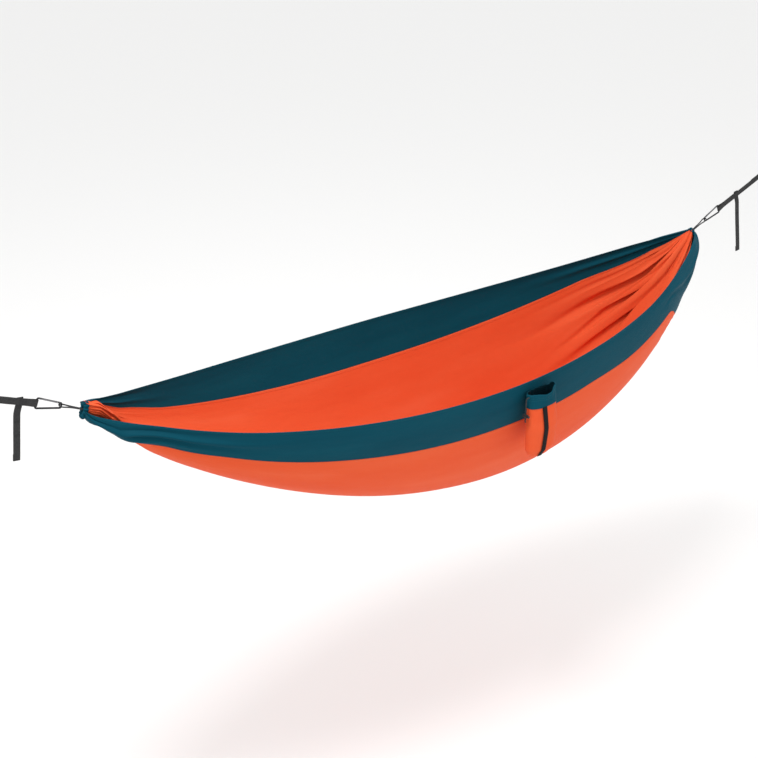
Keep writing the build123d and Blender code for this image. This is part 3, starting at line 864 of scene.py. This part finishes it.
sew_y, sew_z = off_surface(SACK_AT, sew_t, 0.0015)
slope = (bed_yz(SACK_AT + 0.01, -1)[0] - bed_yz(SACK_AT - 0.01, -1)[0]) / (0.01 * SPAN)
SX = np.array([1.0, slope, 0.0]) / math.hypot(1.0, slope)
SY = np.array([-SX[1], SX[0], 0.0])
UP = np.array([0, 0, 1.0])
SO = np.array([MID[0] + SACK_AT * SPAN / 2, sew_y - 0.0015, MID[2] + sew_z])


def sack_point(x, y, z):
    """Local x (along the rim), y (towards the bed) and z (up) from the middle of the sewn mouth."""
    return SO + np.multiply.outer(x, SX) + np.multiply.outer(y, SY) + np.multiply.outer(z, UP)


# drop below the mouth, half length, half depth
RINGS = np.array([(0.0, 0.052, 0.018), (0.040, 0.055, 0.024), (0.110, 0.057, 0.028), (0.180, 0.055, 0.026),
                  (0.205, 0.046, 0.019)])


def sack_shell(drop, ang, inset, seed):
    """Local x, y of the sack's skin: ang 0 is the +x end, -90 degrees the front."""
    a = np.interp(drop, RINGS[:, 0], RINGS[:, 1]) - inset
    b = np.interp(drop, RINGS[:, 0], RINGS[:, 2])
    flat = 0.80
    c, s = np.cos(ang), np.sin(ang)
    x = a * np.sign(c) * np.abs(c) ** flat
    y = -b + (b - inset) * np.where(s > 0, np.abs(s) ** 0.75, -np.abs(s) ** 0.95)
    wrinkle = 0.0016 * ripple(ang * 3.0 + drop * 9.0, seed, 4) * ripple(drop * 38.0 + ang, seed + 9, 3)
    wrinkle = wrinkle + 0.0011 * ripple(ang * 9.0, seed + 4, 3) * smooth(0.05, 0.0, drop)
    return x * (1 + wrinkle / 0.05), y + wrinkle * s


def sack_surface(d0, d1, n, inset, seed):
    ang = np.linspace(0, 2 * math.pi, 161)
    ang[-1] = ang[0]
    drop = np.linspace(d0, d1, n)
    D, A = np.meshgrid(drop, ang, indexing="ij")
    x, y = sack_shell(D, A, inset, seed)
    return D, A, x, y


D, A, x, y = sack_surface(0.0, 0.042, 24, 0.0006, 41)
hem = 0.0016 * np.exp(-((D - 0.006) / 0.004) ** 2)
# the mouth climbs at the +x corner and the front lip sags open
k = np.cos(A)
climb = np.where(np.sin(A) > 0, 0.009 * smooth(0.82, 1.0, k),
                 0.009 * smooth(0.25, 1.0, k) - 0.007 * np.exp(-((k - 0.15) / 0.45) ** 2))
climb = climb * (1 - D / 0.042) ** 0.8
gape = 0.006 * (np.sin(A) < 0) * np.exp(-((k - 0.1) / 0.5) ** 2) * (1 - D / 0.042)
P = sack_point(x * (1 + hem * 12), y - gape, climb - D)
UV = np.stack([A * 0.045, np.abs(D - 0.010)], -1)
collar = slab("cloth_sack_collar", P, UV, 0.0009 + hem, M["teal"], wrap=True)
collar.data.materials.append(M["teal_painted_shade"])
# the slab's second layer of faces, the inside of the collar, gets the dark teal of painted shade
inner = (P.shape[0] - 1) * (P.shape[1] - 1)
for poly in collar.data.polygons[inner:2 * inner]:
    poly.material_index = 1
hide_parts("sack_collar")
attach(collar, "sack")

D, A, x, y = sack_surface(0.038, 0.203, 60, 0.0018, 41)
tuck = smooth(0.186, 0.203, D)
P = sack_point(x * (1 - 0.12 * tuck), y, -D)
# the floor closes in rings from the last one towards the middle
k = np.linspace(1, 0.02, 16)
last = P[-1]
centre = last.mean(axis=0) - UP * 0.001
base = centre + (last - centre)[None] * k[:, None, None] - UP * (0.0015 * np.sin(k * 9))[:, None, None]
P = np.concatenate([P, base[1:]])
depth = np.concatenate([D[:, 0], 0.203 + 0.045 * (1 - k[1:])])
UV = np.stack([np.broadcast_to(A[:1] * 0.045, P.shape[:2]),
               np.broadcast_to(np.abs(depth[:, None] - 0.030), P.shape[:2])], -1)
body = slab("cloth_sack_body", P, UV, 0.0007, M["orange"], wrap=True)
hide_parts("sack_body")
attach(body, "sack")

# stripe down the front
dr = np.linspace(0.0405, 0.2045, 70)
sx = -0.012 + 0.004 * np.sin((dr - 0.04) / 0.16 * 2.6) - 0.004 * smooth(0.10, 0.20, dr)
fb = np.interp(dr, RINGS[:, 0], RINGS[:, 2])
front = -2 * fb - 0.0004
path = sack_point(sx, front, -dr)
stripe, _ = ribbon("webbing_sack_stripe", path, SX, M["black"], width=0.018, thickness=0.0013)
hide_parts("sack_stripe")
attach(stripe, "sack")

# drawcord strands and their knot
CORD_OUT, CORD_DEPTH, LOCK_DROP, CORD_D, PITCH = 0.065, 0.024, 0.062, 0.002, 0.0023
cord_end = LOCK_DROP + 0.016
strands = []
for lane in (-1, 1):
    cx = -CORD_OUT + lane * PITCH / 2
    cz = -0.007 + lane * PITCH / 2
    pts = [sack_point(a, -CORD_DEPTH, b) for a, b in
           ((-0.0535, cz), (-0.0600, cz), (cx, cz - 0.001), (cx, cz - 0.012),
            (cx, -0.045), (cx, -cord_end + 0.002))]
    ob, line = braided(f"cord_sack_drawcord_{'a' if lane < 0 else 'b'}", pts, CORD_D, M["cord"],
                       step=0.0003, sides=12)
    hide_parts("sack_drawcord")
    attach(ob, "sack")
    strands.append((ob, pts, line))
turns = np.linspace(0, 2 * math.pi * 2.4, 90)
kc = sack_point(-CORD_OUT, -CORD_DEPTH, -cord_end - 0.001)
KNOT_D = 0.0024
knot_pts = [kc + SX * KNOT_D * math.cos(a) + SY * KNOT_D * math.sin(a) + UP * (0.0042 - 0.00066 * a)
            for a in turns[::9]]
knot, _ = braided("knot_sack_drawcord", knot_pts, KNOT_D, M["cord"], step=0.0003, sides=12)
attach(knot, "sack")
for i, (ob, pts, line) in enumerate(strands):
    length = float(np.sum(np.linalg.norm(np.diff(line, axis=0), axis=1)))
    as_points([tuple(p) for p in line[::6]] + [tuple(line[-1])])

# ---------------------------------------------------------------- stage, light, camera
def plain(name, colour, rough):
    def build(nt, bsdf):
        n = node(nt, "ShaderNodeTexNoise", Scale=3.0, Detail=2.0)
        link(nt, ramp(nt, n.outputs["Fac"], [(0.0, tuple(c * 0.985 for c in colour)), (1.0, colour)]),
             bsdf.inputs["Base Color"])
        bsdf.inputs["Roughness"].default_value = rough
    return material(name, build)


bpy.context.scene.view_settings.view_transform = "Standard"
FLOOR_DROP, FLOOR_HALF = 0.85, 60.0
floor_z = cad_box[0][2] - FLOOR_DROP
floor_corners = [(i * FLOOR_HALF, j * FLOOR_HALF, floor_z) for i, j in ((-1, -1), (1, -1), (1, 1), (-1, 1))]
floor = mesh_object("floor", floor_corners, [[0, 1, 2, 3]], plain("floor_pale", (0.90, 0.90, 0.895), 0.9))

world = bpy.data.worlds.new("studio")
bpy.context.scene.world = world
world.use_nodes = True
world.node_tree.nodes["Background"].inputs["Color"].default_value = (1.0, 1.0, 1.0, 1.0)
world.node_tree.nodes["Background"].inputs["Strength"].default_value = 0.97

AIM = Vector(MID) + Vector((0, 0, -0.25))


def area(name, pos, size, watts):
    """A soft light at pos from the aim point, turned towards it."""
    la = bpy.data.lights.new(name, "AREA")
    la.shape = "RECTANGLE"
    la.size, la.size_y = size
    la.energy = watts
    ob = bpy.data.objects.new(name, la)
    bpy.context.collection.objects.link(ob)
    ob.location = Vector(pos) + AIM
    ob.rotation_euler = (-Vector(pos)).to_track_quat("-Z", "Y").to_euler()


area("key", (-1.3, -0.7, 3.9), (1.3, 1.0), 92)
area("fill", (2.6, -3.0, 1.0), (2.4, 2.0), 8)
area("back", (0.4, 2.6, 3.0), (2.6, 1.4), 16)

AZ, EL, DIST = math.radians(-36.0), math.radians(26.0), 1.9 * SPAN
back_v = Vector((math.sin(AZ) * math.cos(EL), -math.cos(AZ) * math.cos(EL), math.sin(EL)))
right_v = Vector((math.cos(AZ), math.sin(AZ), 0))
up_v = back_v.cross(right_v)
cam_data = bpy.data.cameras.new("camera")
cam_data.sensor_width = 36.0
cam_data.lens = 68.9
SHIFT_RIGHT, SHIFT_UP = -0.066 * SPAN, -0.097 * SPAN
cam = bpy.data.objects.new("camera", cam_data)
bpy.context.collection.objects.link(cam)
cam.location = Vector(MID) + back_v * DIST + right_v * SHIFT_RIGHT + up_v * SHIFT_UP
cam.rotation_euler = (-back_v).to_track_quat("-Z", "Y").to_euler()
bpy.context.scene.camera = cam
